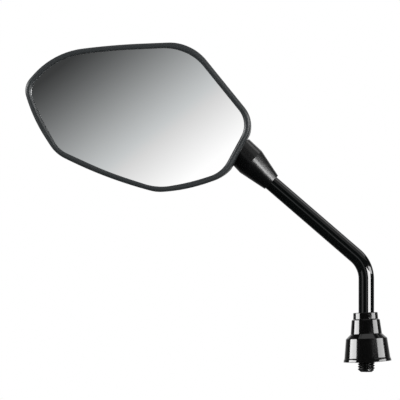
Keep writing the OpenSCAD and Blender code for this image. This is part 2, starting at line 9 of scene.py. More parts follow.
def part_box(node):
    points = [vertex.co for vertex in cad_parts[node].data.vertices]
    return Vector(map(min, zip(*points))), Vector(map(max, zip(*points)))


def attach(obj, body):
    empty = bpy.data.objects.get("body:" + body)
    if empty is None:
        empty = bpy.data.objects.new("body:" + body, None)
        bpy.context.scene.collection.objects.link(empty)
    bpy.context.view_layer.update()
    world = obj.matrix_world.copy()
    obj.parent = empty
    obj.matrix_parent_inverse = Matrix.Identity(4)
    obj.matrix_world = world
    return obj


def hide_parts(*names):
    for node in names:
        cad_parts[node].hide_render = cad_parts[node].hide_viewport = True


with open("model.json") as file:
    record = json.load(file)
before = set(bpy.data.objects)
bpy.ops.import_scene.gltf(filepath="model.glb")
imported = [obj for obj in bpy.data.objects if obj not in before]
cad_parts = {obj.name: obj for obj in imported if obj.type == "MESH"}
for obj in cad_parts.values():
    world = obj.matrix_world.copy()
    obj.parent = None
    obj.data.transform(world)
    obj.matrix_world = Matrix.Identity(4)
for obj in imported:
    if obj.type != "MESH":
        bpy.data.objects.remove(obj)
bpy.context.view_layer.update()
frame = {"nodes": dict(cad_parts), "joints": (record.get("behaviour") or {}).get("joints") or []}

mm = 0.001
joints = {j["name"]: j for j in frame["joints"]}
pivot = Vector(joints["head_swivel"]["pos_m"])
neckAxis = Vector(joints["head_swivel"]["axis"]).normalized()
neckPlace = Matrix.Translation(pivot) @ Vector((0, 0, 1)).rotation_difference(neckAxis).to_matrix().to_4x4()


# Shared modelling steps

def clearSelection():
    if bpy.context.object and bpy.context.object.mode != "OBJECT":
        bpy.ops.object.mode_set(mode="OBJECT")
    bpy.ops.object.select_all(action="DESELECT")


def choose(obj):
    clearSelection()
    obj.select_set(True)
    bpy.context.view_layer.objects.active = obj


def enterEdit(obj):
    choose(obj)
    bpy.ops.object.mode_set(mode="EDIT")


def leaveEdit(obj):
    bmesh.update_edit_mesh(obj.data)
    bpy.ops.object.mode_set(mode="OBJECT")


# Merges points that touch, turns the faces outward and leaves edit mode
def closeUp(obj, near=1e-6):
    bpy.ops.mesh.select_all(action="SELECT")
    bpy.ops.mesh.remove_doubles(threshold=near)
    bpy.ops.mesh.normals_make_consistent(inside=False)
    leaveEdit(obj)


def key(point):      # a point as a dictionary key
    return tuple(round(c, 7) for c in point)


def smooth(obj, angle=35):
    choose(obj)
    bpy.ops.object.shade_smooth_by_angle(angle=math.radians(angle))


def applyModifiers(obj):
    choose(obj)
    for mod in list(obj.modifiers):
        bpy.ops.object.modifier_apply(modifier=mod.name)


def applyPlace(obj, place):
    obj.matrix_world = place
    choose(obj)
    bpy.ops.object.transform_apply(location=True, rotation=True, scale=True)


# Boolean of one piece with another, which is used up
def cut(obj, tool, kind):
    mod = obj.modifiers.new(kind.lower(), "BOOLEAN")
    mod.operation = kind
    mod.object = tool
    mod.solver = "EXACT"
    applyModifiers(obj)
    bpy.data.objects.remove(tool)


# Corners (x, y, radius) become points, each rounded corner an arc; the first and last stay sharp when open
def roundCorners(corners, inset=0.0, steps=5, closed=True, between=1):
    made = []
    for i, (x, y, radius) in enumerate(corners):
        here = Vector((x, y))
        if radius == 0 or (not closed and i in (0, len(corners) - 1)):
            made.append(here)
            continue
        u = (Vector(corners[i - 1][:2]) - here).normalized()
        w = (Vector(corners[(i + 1) % len(corners)][:2]) - here).normalized()
        half = u.angle(w) / 2
        centre = here + (u + w).normalized() * radius / math.sin(half)
        start = here + u * radius / math.tan(half) - centre
        stop = here + w * radius / math.tan(half) - centre
        for k in range(steps + 1):
            spoke = start.slerp(stop, k / steps).normalized()
            made.append(centre + spoke * (radius - inset))
    if between == 1:
        return made
    filled = []
    for i, p in enumerate(made):      # the straight stretch after each arc is divided
        filled.append(p)
        if i % (steps + 1) == steps:
            q = made[(i + 1) % len(made)]
            filled += [p.lerp(q, k / between) for k in range(1, between)]
    return filled


# The same closed line with points at even distances
def evenly(points, count):
    lengths = [(points[(i + 1) % len(points)] - p).length for i, p in enumerate(points)]
    spacing = sum(lengths) / count
    made, i, gone = [], 0, 0.0
    for k in range(count):
        while gone + lengths[i] < k * spacing:
            gone += lengths[i]
            i += 1
        share = (k * spacing - gone) / lengths[i]
        made.append(points[i].lerp(points[(i + 1) % len(points)], share))
    return made


# A circle primitive whose edge is moved to the first ring, then extruded and placed ring by ring
def loft(name, rings, tube=False):
    bpy.ops.mesh.primitive_circle_add(vertices=len(rings[0]), radius=1)
    obj = bpy.context.object
    obj.name = obj.data.name = name
    for v, p in zip(obj.data.vertices, rings[0]):
        v.co = p
    order = {key(p): i for i, p in enumerate(rings[0])}
    enterEdit(obj)
    bpy.ops.mesh.select_all(action="SELECT")
    for ring in rings[1:] + (rings[:1] if tube else []):
        bpy.ops.mesh.extrude_region_move()
        bm = bmesh.from_edit_mesh(obj.data)
        for v in [v for v in bm.verts if v.select]:
            v.co = ring[order[key(v.co)]]
        order = {key(p): i for i, p in enumerate(ring)}
        bmesh.update_edit_mesh(obj.data)
    if not tube:                      # both ends are closed
        bpy.ops.mesh.edge_face_add()
        bpy.ops.mesh.select_all(action="DESELECT")
        bm = bmesh.from_edit_mesh(obj.data)
        for e in bm.edges:
            e.select_set(e.is_boundary)
        bmesh.update_edit_mesh(obj.data)
        bpy.ops.mesh.edge_face_add()
    closeUp(obj)
    return obj


# A turned piece from a profile of (radius, height) in millimetres
def turned(name, profile, sides=96, tube=False):
    turns = [2 * math.pi * k / sides for k in range(sides)]
    rings = [[Vector((r * mm * math.cos(a), r * mm * math.sin(a), z * mm)) for a in turns] for r, z in profile]
    return loft(name, rings, tube)


# A ring in the head from points (x, z) in millimetres from the pivot, at a depth that may vary round it
def headRing(points, depth):
    return [Vector((pivot.x + p.x * mm, depth(p) * mm, pivot.z + p.y * mm)) for p in points]


def dress(obj, material, body, nodes=()):
    obj.data.materials.clear()
    obj.data.materials.append(material)
    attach(obj, body)
    if nodes:
        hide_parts(*nodes)


# Shader node groups that the finishes share, and their fixed values
surface = {"grainDetail": 3, "grainHeight": 0.00004, "glossScale": 60, "glossLow": 0.35, "glossHigh": 0.65,
           "toneScale": 40, "toneDetail": 5}


def newGroup(name, inputs, outputs):
    group = bpy.data.node_groups.new(name, "ShaderNodeTree")
    for label, value in inputs.items():
        socket = group.interface.new_socket(label, in_out="INPUT", socket_type="NodeSocketFloat")
        socket.default_value = value
    for label, kind in outputs.items():
        group.interface.new_socket(label, in_out="OUTPUT", socket_type=kind)
    return group, group.nodes.new("NodeGroupInput"), group.nodes.new("NodeGroupOutput")


def link(tree, *pairs):
    for a, b in pairs:
        tree.links.new(a, b)


# Fine moulded grain: a bumpy surface whose gloss drifts a little
def makeGrain():
    group, given, out = newGroup("mouldedGrain", {"Scale": 2500, "Depth": 0.1, "Low": 0.3, "High": 0.4},
                                 {"Roughness": "NodeSocketFloat", "Normal": "NodeSocketVector"})
    nodes = group.nodes
    place = nodes.new("ShaderNodeTexCoord")
    fine = nodes.new("ShaderNodeTexNoise")
    fine.inputs["Detail"].default_value = surface["grainDetail"]
    broad = nodes.new("ShaderNodeTexNoise")
    broad.inputs["Scale"].default_value = surface["glossScale"]
    spread = nodes.new("ShaderNodeMapRange")
    spread.inputs["From Min"].default_value = surface["glossLow"]
    spread.inputs["From Max"].default_value = surface["glossHigh"]
    bump = nodes.new("ShaderNodeBump")
    bump.inputs["Distance"].default_value = surface["grainHeight"]
    link(group,
         (place.outputs["Object"], fine.inputs["Vector"]), (place.outputs["Object"], broad.inputs["Vector"]),
         (given.outputs["Scale"], fine.inputs["Scale"]), (given.outputs["Depth"], bump.inputs["Strength"]),
         (fine.outputs["Fac"], bump.inputs["Height"]), (broad.outputs["Fac"], spread.inputs["Value"]),
         (given.outputs["Low"], spread.inputs["To Min"]), (given.outputs["High"], spread.inputs["To Max"]),
         (spread.outputs["Result"], out.inputs["Roughness"]), (bump.outputs["Normal"], out.inputs["Normal"]))
    return group


# Slight drift of a colour between a dark and a light tone
def makeDrift():
    group, given, out = newGroup("toneDrift", {"Scale": surface["toneScale"]}, {"Mask": "NodeSocketFloat"})
    nodes = group.nodes
    place = nodes.new("ShaderNodeTexCoord")
    cloud = nodes.new("ShaderNodeTexNoise")
    cloud.inputs["Detail"].default_value = surface["toneDetail"]
    link(group,
         (place.outputs["Object"], cloud.inputs["Vector"]), (given.outputs["Scale"], cloud.inputs["Scale"]),
         (cloud.outputs["Fac"], out.inputs["Mask"]))
    return group


grain = makeGrain()
drift = makeDrift()


# A finish: a dark and a light tone, the least and greatest roughness, and the grain's scale and depth
def finishOf(name, dark, light, low, high, scale, depth, **plain):
    material = bpy.data.materials.new(name)
    material.use_nodes = True
    tree = material.node_tree
    shader = tree.nodes["Principled BSDF"]
    tone = tree.nodes.new("ShaderNodeGroup")
    tone.node_tree = drift
    tone.inputs["Scale"].default_value = surface["toneScale"]
    mix = tree.nodes.new("ShaderNodeMix")
    mix.data_type = "RGBA"
    mix.inputs["A"].default_value = (*dark, 1)
    mix.inputs["B"].default_value = (*light, 1)
    texture = tree.nodes.new("ShaderNodeGroup")
    texture.node_tree = grain
    for label, value in {"Scale": scale, "Depth": depth, "Low": low, "High": high}.items():
        texture.inputs[label].default_value = value
    link(tree, (tone.outputs["Mask"], mix.inputs["Factor"]),
         (mix.outputs["Result"], shader.inputs["Base Color"]),
         (texture.outputs["Roughness"], shader.inputs["Roughness"]),
         (texture.outputs["Normal"], shader.inputs["Normal"]))
    for label, value in plain.items():
        shader.inputs[label.replace("_", " ")].default_value = value
    return material


charcoal = finishOf("charcoalPlastic", (0.005, 0.006, 0.0065), (0.008, 0.0095, 0.010), 0.32, 0.40, 6000, 0.02)
# The bezel's charcoal plastic, painted lighter than the shell's same plastic: painted light on the rim
rimCharcoalPaintedLight = finishOf("rimPlasticPaintedLight", (0.013, 0.0155, 0.0165), (0.018, 0.021, 0.0225), 0.40, 0.46, 6000, 0.01,
                       Specular_IOR_Level=0.4)
# The neck boot's charcoal plastic, painted darker than the shell's same plastic: painted shade on the boot
bootCharcoalPaintedShade = finishOf("neckBootPlasticPaintedShade", (0.001, 0.0012, 0.0013), (0.002, 0.0023, 0.0025), 0.26, 0.30, 6000, 0.01)
paint = finishOf("glossBlackPaint", (0.0010, 0.0014, 0.0014), (0.0018, 0.0022, 0.0022), 0.05, 0.08, 500, 0.01)
rubber = finishOf("glossyRubber", (0.0010, 0.0010, 0.0010), (0.0022, 0.0022, 0.0022), 0.09, 0.14, 900, 0.04)
darkSteel = finishOf("blackenedSteel", (0.001, 0.0011, 0.0011), (0.003, 0.003, 0.003), 0.24, 0.34, 4000, 0.05,
                     Specular_IOR_Level=0.2)
zinc = finishOf("zincPlatedSteel", (0.40, 0.39, 0.34), (0.55, 0.54, 0.49), 0.25, 0.4, 4000, 0.15, Metallic=1.0)
wire = finishOf("springWire", (0.25, 0.25, 0.26), (0.4, 0.4, 0.41), 0.2, 0.3, 4000, 0.15, Metallic=1.0)
alloy = finishOf("castAlloy", (0.28, 0.28, 0.29), (0.42, 0.42, 0.43), 0.4, 0.6, 1800, 0.5, Metallic=1.0)
ground = finishOf("groundSteel", (0.5, 0.5, 0.52), (0.6, 0.6, 0.62), 0.12, 0.2, 5000, 0.1, Metallic=1.0)
nylon = finishOf("naturalNylon", (0.62, 0.62, 0.56), (0.72, 0.72, 0.66), 0.4, 0.5, 2000, 0.2)
carrierBlack = finishOf("mouldedBlack", (0.02, 0.02, 0.02), (0.04, 0.04, 0.04), 0.45, 0.6, 2500, 0.5)
foam = finishOf("closedCellFoam", (0.02, 0.02, 0.02), (0.05, 0.05, 0.05), 0.8, 0.95, 1500, 1.0)
silver = finishOf("silveredGlass", (0.93, 0.93, 0.93), (0.95, 0.95, 0.95), 0.0, 0.015, 100, 0.0, Metallic=1.0)
print("finishes made")

# The head's outline and the bezel's opening: corners (x, z, radius) from the pivot, in millimetres
head = {
    "corners": [(-122.5, 31.5, 11), (-116.5, 12, 96), (-103, -9, 22), (-72, -24, 262),
                (-42.5, -32, 24), (-23, -30.5, 100), (-0.5, -22, 22), (17, 10.5, 16),
                (-17, 52.5, 28), (-29.5, 58, 27), (-67.5, 56.5, 430), (-104.5, 52, 47)],
    "opening": [(-119, 30.5, 10), (-112, 13, 150), (-101, -6.5, 16), (-71.5, -20, 224),
                (-42, -29.5, 33), (-22, -26, 128), (-3.5, -20, 18), (12.7, 9.9, 14),
                (-18.9, 49.1, 28), (-32.5, 54.7, 32), (-71, 52.9, 321), (-101.5, 49, 42)],
    "partingY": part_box("bezel")[1].y / mm,
    "crownY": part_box("bezel")[0].y / mm,
    "arcSteps": 10, "sideSteps": 6,
}

# The glass laps under the bezel and is set back from its crown; reach is the usual distance from middle to rim
glass = {"middle": Vector((-53, 13)), "radius": 1200, "thickness": 2, "lap": 1.2, "setBack": 1.4, "edge": 0.3,
         "reach": 50, "points": 220, "rings": 28, "firstRing": 0.015}


def outline(corners, inset=0.0):
    return roundCorners(corners, inset, head["arcSteps"], between=head["sideSteps"])


def glassY(p):      # the face's depth: it falls away from its middle as on a sphere
    fall = glass["radius"] - math.sqrt(glass["radius"] ** 2 - (p - glass["middle"]).length_squared)
    return head["crownY"] + glass["setBack"] + fall


def glassBackY(p):
    return glassY(p) + glass["thickness"]


# Rings run from the middle of the face out over the ground edge and back in to the middle of the back
def makeGlass():
    rim = evenly(outline(head["opening"], -glass["lap"]), glass["points"])

    def drawnIn(share):
        return [glass["middle"] + (p - glass["middle"]) * share for p in rim]

    shares = [glass["firstRing"]] + [k / glass["rings"] for k in range(1, glass["rings"])]
    inner = [drawnIn(share) for share in shares + [1 - glass["edge"] / glass["reach"]]]
    rings = [headRing(points, glassY) for points in inner]
    rings.append(headRing(rim, lambda p: glassY(p) + glass["edge"]))
    rings.append(headRing(rim, lambda p: glassBackY(p) - glass["edge"]))
    rings += [headRing(points, glassBackY) for points in reversed(inner)]
    obj = loft("mirrorGlass", rings)
    smooth(obj, 25)
    dress(obj, silver, "head", ["mirror_glass"])


bezel = {"crown": 2.4, "flatness": 0.7, "faceSteps": 24, "lip": 0.5, "gap": 0.16, "play": 0.2, "skirt": 1.0,
         "step": 0.9, "groove": 0.3}


# The face bulges from the side in to the glass; behind it lie the glass's recess and the skirt inside the shell
def makeBezel():
    outer = outline(head["corners"])
    opening = outline(head["opening"])
    recess = outline(head["opening"], -glass["lap"] - bezel["play"])
    skirt = outline(head["corners"], bezel["skirt"])
    shy = outline(head["corners"], bezel["groove"])
    parting = head["partingY"]
    sideY = head["crownY"] + bezel["crown"]
    stepY = parting - bezel["step"]
    rings = [headRing(shy, lambda p: parting), headRing(outer, lambda p: parting - bezel["groove"])]
    for i in range(bezel["faceSteps"] + 1):
        a = math.pi * i / bezel["faceSteps"]
        u = (1 - math.cos(a)) / 2
        ring = []
        for p, q in zip(outer, opening):
            edgeY = glassY(q) - bezel["lip"] - bezel["gap"]
            side = sideY + u * (edgeY - sideY)
            crown = bezel["crown"] - u * (sideY - edgeY) / 2
            flat = p + u * (q - p)
            rise = crown * max(math.sin(a), 0.0) ** bezel["flatness"]
            ring.append(Vector((pivot.x + flat.x * mm, (side - rise) * mm, pivot.z + flat.y * mm)))
        rings.append(ring)
    rings += [headRing(opening, lambda p: glassY(p) - bezel["gap"]),
              headRing(recess, lambda p: glassY(p) - bezel["gap"]),
              headRing(recess, lambda p: stepY), headRing(skirt, lambda p: stepY),
              headRing(skirt, lambda p: parting)]
    obj = loft("bezelRim", rings, tube=True)
    smooth(obj, 40)
    dress(obj, rimCharcoalPaintedLight, "head", ["bezel"])


# fall says how soon the outline draws in towards the back, neckFall how much less on the neck's side, where swell
# pushes it out; the pocket's heights are on the neck's axis from the pivot
shell = {"depth": 34.5, "wall": 2.2, "middle": Vector((-27, 9)), "backShare": 0.34, "fall": 0.8, "neckFall": 0.6,
         "neckSide": -27, "neckPower": 4, "swell": 2.6, "lifts": 26, "backCrown": 0.25, "crownSteps": 5,
         "crownEnd": 0.3, "play": 0.15, "pocket": 13.0, "pocketWall": 1.9, "pocketStart": 0.02, "pocketFloor": 5.5,
         "pocketEnd": 60, "noseHole": 10.4, "noseStart": -1}


# The outline drawn in towards the back as the lift grows from 0 to a right angle, fuller on the neck's side
def shellRing(points, depth, lift):
    toNeck = Vector((math.cos(math.radians(shell["neckSide"])), math.sin(math.radians(shell["neckSide"]))))
    ring = []
    for p in points:
        out = p - shell["middle"]
        share = max(0.0, out.normalized().dot(toNeck)) ** shell["neckPower"]
        fall = max(math.cos(lift), 0.0) ** (shell["fall"] - shell["neckFall"] * share)
        shrink = shell["backShare"] + (1 - shell["backShare"]) * fall
        ring.append(shell["middle"] + shrink * out + shell["swell"] * share * math.sin(2 * lift) * toNeck)
    return headRing(ring, lambda p: head["partingY"] + depth * math.sin(lift))


# Rings from the back ring in to its middle, with a slight crown
def backRings(points, depth):
    edge = shellRing(points, depth, math.pi / 2)
    centre = sum(edge, Vector()) / len(edge)
    made = []
    for k in range(1, shell["crownSteps"] + 1):
        t = 1 - k / (shell["crownSteps"] + shell["crownEnd"])
        rise = shell["backCrown"] * mm * (1 - t * t)
        made.append([centre + (p - centre) * t + Vector((0, rise, 0)) for p in edge])
    return made


# The wall is lofted as one closed skin; the pocket round the ball pivot is then joined on and bored
def makeShell():
    outer = outline(head["corners"])
    shy = outline(head["corners"], bezel["groove"])
    inner = outline(head["corners"], shell["wall"])
    step = outline(head["corners"], bezel["skirt"] + shell["play"])
    parting = head["partingY"]
    lifts = [math.pi / 2 * k / shell["lifts"] for k in range(shell["lifts"] + 1)]
    innerDepth = shell["depth"] - shell["wall"]
    rings = list(reversed(backRings(inner, innerDepth)))
    rings += [shellRing(inner, innerDepth, a) for a in reversed(lifts)]
    rings += [headRing(ring, lambda p: parting - bezel["step"]) for ring in (inner, step)]
    rings += [headRing(ring, lambda p: parting) for ring in (step, shy)]
    rings.append(headRing(outer, lambda p: parting + bezel["groove"]))
    rings += [shellRing(outer, shell["depth"], a) for a in lifts[1:]]
    rings += backRings(outer, shell["depth"])
    skin = loft("rearShell", rings)
    middle = outline(head["corners"], shell["wall"] / 2)
    coreDepth = shell["depth"] - shell["wall"] / 2
    core = loft("shellCore", [shellRing(middle, coreDepth, a) for a in lifts] + backRings(middle, coreDepth))
    wallR = shell["pocket"] + shell["pocketWall"]
    ring = turned("pocketRing", [(wallR, shell["pocketStart"]), (wallR, shell["pocketEnd"])])
    applyPlace(ring, neckPlace)
    cut(ring, core, "INTERSECT")
    cut(skin, ring, "UNION")
    for radius, start in ((shell["pocket"], shell["pocketFloor"]), (shell["noseHole"], shell["noseStart"])):
        bore = turned("pocketBore", [(radius, start), (radius, shell["pocketEnd"])])
        applyPlace(bore, neckPlace)
        cut(skin, bore, "DIFFERENCE")
    smooth(skin, 30)
    dress(skin, charcoal, "head", ["rear_shell"])


makeGlass()
makeBezel()
print("glass and bezel modelled")
makeShell()
print("rear shell modelled")

# Heights along the neck's axis from the pivot; the profile runs up the outside and down the inside
neck = {"rim": 8.9, "rimR": 8.85, "knee": 19.5, "kneeR": 9.25, "kneeRound": 0.7, "mouth": 37.0, "mouthR": 5.65,
        "mouthRound": 0.45, "bore": 5.0, "boreRound": 0.2, "boreEnd": 27.0, "wall": 1.5, "innerKnee": 19.0,
        "innerRim": 9.8, "sit": 0.25}


def makeNeckBoot():
    innerR = neck["kneeR"] - neck["wall"]
    corners = [(neck["rimR"], neck["rim"], 0), (neck["kneeR"], neck["knee"], neck["kneeRound"]),
               (neck["mouthR"], neck["mouth"], neck["mouthRound"]), (neck["bore"], neck["mouth"], neck["boreRound"]),
               (neck["bore"], neck["boreEnd"], 0), (innerR, neck["innerKnee"], 0), (innerR, neck["innerRim"], 0)]
    obj = turned("neckBoot", roundCorners(corners, closed=False), tube=True)
    up = Vector((-neckAxis.z, 0, neckAxis.x)) * neck["sit"] * mm      # the boot sits a little high on the stem
    applyPlace(obj, Matrix.Translation(up) @ neckPlace)
    smooth(obj, 25)
    dress(obj, bootCharcoalPaintedShade, "stem", ["neck_boot"])


# Corners (radius, height, rounding) from the lip up the outside, in at the top and down the inside
base = {
    "corners": [(13.2, -8.5, 0), (14.5, -8.5, 0.2), (14.2, -7, 0.2), (13.85, -6.4, 0.3),      # lip
                (12.45, 5.3, 0.45), (9.45, 8.1, 0.5), (8.5, 16.5, 0.3),                       # foot and middle
                (7.55, 17, 0.2), (7.35, 20.9, 0.45), (5.15, 20.9, 0.25),                      # collar
                (5.15, 13, 0), (5.6, 13, 0), (5.6, 8.8, 0), (8.9, 6.8, 0.8),                  # over rod and nut
                (10.55, 3, 1.5), (11.95, -6.9, 0.5)],                                         # inside the foot
    "sides": 128, "top": 20.9, "lean": 2.5, "shift": 0.55, "lipR": 14.5, "bow": 0.6, "bowFrom": -6.5, "bowSpan": 0.5,
}


def makeBaseBoot():
    obj = turned("baseBoot", roundCorners(base["corners"], closed=False), base["sides"], tube=True)
    for v in obj.data.vertices:          # the soft lip bows down towards the front
        low = max(0.0, base["bowFrom"] * mm - v.co.z) / (base["bowSpan"] * mm)
        front = max(0.0, -v.co.y / (base["lipR"] * mm))
        v.co.z -= base["bow"] * mm * min(low, 1.0) * front ** 2
    aside = Matrix.Translation((-base["shift"] * mm, 0, 0))
    toTop = Matrix.Translation((0, 0, base["top"] * mm))      # it leans about the middle of its top
    lean = Matrix.Rotation(math.radians(-base["lean"]), 4, "Y")
    applyPlace(obj, aside @ toTop @ lean @ toTop.inverted())
    smooth(obj, 28)
    dress(obj, rubber, "boot", ["base_boot"])


# Heights on the stem's axis up to the bend's corner, the arm's length to the kink's corner, and from neckFrom to
# end distances from the pivot on the neck's axis
rod = {"radius": 4.7, "rootR": 4.4, "root": (-13.8, 9.6), "blank": (11.0, 11.4), "corner": 49.5, "bendR": 18.5,
       "bendSteps": 28, "armAngle": 40.8, "armLength": 75.4, "kinkR": 40.0, "kinkSteps": 4, "neckAngle": 45.0,
       "neckFrom": 20.0, "waistFrom": 14.3, "waistTo": 12.3, "waistR": 3.2, "end": 6.2, "sides": 72,
       "spigotR": 2.5, "spigot": (-6.2, 6.25), "spigotSides": 48}


# Rings of the rod along its centre line, which lies in the XZ plane
def rodRings():
    def ring(x, z, slope, radius):   # slope: the centre line's heading above the horizontal, towards -X
        a = math.radians(slope)
        across = Vector((math.sin(a), 0, math.cos(a)))
        deep = Vector((0, 1, 0))
        return [Vector((x, 0, z)) * mm + (across * math.cos(t) + deep * math.sin(t)) * radius * mm
                for t in (2 * math.pi * k / rod["sides"] for k in range(rod["sides"]))]

    def along(start, slope, distance):
        a = math.radians(slope)
        return start + Vector((-math.cos(a), math.sin(a))) * distance

    r = rod["radius"]
    rings = [ring(0, z, 90, rod["rootR"]) for z in rod["root"]] + [ring(0, z, 90, r) for z in rod["blank"]]
    place, slope, spent = Vector((0, rod["blank"][1])), 90.0, 0
    for length, target, radius, steps in ((rod["corner"] - place.y, rod["armAngle"], rod["bendR"], rod["bendSteps"]),
                                          (rod["armLength"], rod["neckAngle"], rod["kinkR"], rod["kinkSteps"])):
        turning = target - slope
        tangent = radius * math.tan(math.radians(abs(turning)) / 2)
        place = along(place, slope, length - spent - tangent)
        rings.append(ring(place.x, place.y, slope, r))
        chord = 2 * radius * math.sin(math.radians(abs(turning) / steps) / 2)
        for k in range(steps):
            place = along(place, slope + turning / steps / 2, chord)
            slope += turning / steps
            rings.append(ring(place.x, place.y, slope, r))
        spent = tangent
    for size, at in ((r, "neckFrom"), (r, "waistFrom"), (rod["waistR"], "waistTo"), (rod["waistR"], "end")):
        spot = pivot / mm + neckAxis * rod[at]
        rings.append(ring(spot.x, spot.z, rod["neckAngle"], size))
    return rings


def makeRod():
    obj = loft("stemRod", rodRings())
    smooth(obj, 30)
    dress(obj, paint, "stem", ["stem_rod"])
    tail = turned("stemSpigot", [(rod["spigotR"], z) for z in rod["spigot"]], rod["spigotSides"])
    applyPlace(tail, neckPlace)
    smooth(tail)
    dress(tail, ground, "stem")


# The flank's steps are shares of the depth outward and of the pitch upward, from one root to the next; end is the
# profile of the rod's end inside the turns
thread = {"radius": 5.05, "pitch": 1.5, "tip": -14.8, "top": 10.0, "steps": 48, "spareTurns": 4,
          "flank": [(0, 0.18), (0.85, 0.2), (0.15, 0.08), (0, 0.26), (-0.15, 0.08), (-0.85, 0.2)],
          "tipR": 3.25, "chamfer": 1.25, "runOut": 0.6, "runSlope": 0.5,
          "end": [(4.0, -12.1), (3.6, -13.4), (3.15, -14.25), (2.9, -14.47), (1.0, -14.5), (0.75, -14.52),
                  (0.6, -14.8), (0.3, -14.9)], "endSides": 64}


# The rolled thread: one pitch of its flank is extruded point by point and screwed up the axis
def makeThread():
    bpy.ops.mesh.primitive_plane_add(size=0.001)
    obj = bpy.context.object
    obj.name = obj.data.name = "stemThread"
    enterEdit(obj)
    bpy.ops.mesh.select_all(action="SELECT")
    bpy.ops.mesh.merge(type="CENTER")
    bm = bmesh.from_edit_mesh(obj.data)
    bm.verts.ensure_lookup_table()
    depth, pitch, tip = thread["radius"] - rod["rootR"], thread["pitch"], thread["tip"]
    bm.verts[0].co = Vector((rod["rootR"], 0, tip - 2 * pitch)) * mm
    bm.verts[0].select_set(True)
    bmesh.update_edit_mesh(obj.data)
    for out, up in thread["flank"]:
        step = (depth * out * mm, 0, pitch * up * mm)
        bpy.ops.mesh.extrude_region_move(TRANSFORM_OT_translate={"value": step})
    leaveEdit(obj)
    mod = obj.modifiers.new("thread", "SCREW")
    mod.screw_offset = pitch * mm
    mod.iterations = int((thread["top"] - tip) / pitch) + thread["spareTurns"]
    mod.steps = mod.render_steps = thread["steps"]
    mod.use_merge_vertices = True
    mod.merge_threshold = 1e-6
    applyModifiers(obj)
    runOut = thread["runOut"]
    for v in obj.data.vertices:          # the tip's chamfer and flat end, and the run-out at the top
        v.co.z = min(max(v.co.z, tip * mm), (thread["top"] + runOut) * mm)
        reach = Vector((v.co.x, v.co.y)).length
        limit = thread["tipR"] * mm + (v.co.z - tip * mm) * thread["chamfer"]
        top = (thread["top"] - runOut) * mm
        if v.co.z > top:
            limit = min(limit, thread["radius"] * mm - (v.co.z - top) * thread["runSlope"])
        if reach > limit:
            v.co.x *= limit / reach
            v.co.y *= limit / reach
    enterEdit(obj)
    closeUp(obj, 2e-6)
    smooth(obj, 40)
    dress(obj, darkSteel, "stem")
    end = turned("threadEnd", thread["end"], thread["endSides"])
    smooth(end, 30)
    dress(end, darkSteel, "stem")


makeNeckBoot()
makeBaseBoot()
makeRod()
makeThread()
print("stem and boots modelled")

# Pieces whose CAD shape stays: a merged copy shades smoothly and carries the finish
keptShapes = {
    "pivot_ball": (ground, "stem", "pivot_steel"), "lock_nut": (darkSteel, "stem", "nut_steel"),
    "front_liner": (nylon, "inner_liner", "liner_nylon"), "rear_liner": (nylon, "outer_liner", "liner_nylon"),
    "pivot_bracket": (alloy, "head", "bracket_alloy"), "bracket_screws": (zinc, "head", "screw_steel"),
    "clamp_cap": (alloy, "head", "bracket_alloy"), "clamp_springs": (wire, "head", "spring_steel"),
    "clamp_washers": (zinc, "head", "screw_steel"), "clamp_screws": (zinc, "head", "screw_steel"),
    "glass_carrier": (carrierBlack, "head", "carrier_plastic"), "carrier_screws": (zinc, "head", "screw_steel"),
    "foam_pad": (foam, "head", "foam"),
}
for node, (finish, body, slot) in keptShapes.items():
    clearSelection()
    copy = frame["nodes"][node].copy()
    copy.data = frame["nodes"][node].data.copy()
    for label in list(copy.keys()):
        if label.startswith("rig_"):
            del copy[label]
    copy.parent = None
    copy.name = node + "_smooth"
    bpy.context.collection.objects.link(copy)
    enterEdit(copy)
    closeUp(copy)
    smooth(copy, 30)
    dress(copy, finish, body, [node])
print("inner pieces dressed")

# The photograph's scale and size, the pixels where the stem's axis and the nut's seat lie, and the camera
studio = {"pixel": 0.6, "photo": 400, "stemPixel": 366.3, "zeroPixel": 347.3, "distance": 10, "sensor": 36,
          "clip": 50}


def makeCamera():
    middle = studio["photo"] / 2
    x = (middle - studio["stemPixel"]) * studio["pixel"] * mm
    z = (studio["zeroPixel"] - middle) * studio["pixel"] * mm
    bpy.ops.object.camera_add(location=(x, -studio["distance"], z), rotation=(math.pi / 2, 0, 0))
    camera = bpy.context.object
    camera.data.sensor_width = studio["sensor"]
    camera.data.lens = studio["sensor"] * studio["distance"] / (studio["photo"] * studio["pixel"] * mm)
    camera.data.clip_end = studio["clip"]
    bpy.context.scene.camera = camera


# A pale disc below the mirror that fades out towards its edge
floorDisc = {"x": -0.08, "z": -0.06, "radius": 0.7, "sides": 96, "fadeFrom": 0.3, "fadeTo": 0.95, "tone": 0.85}


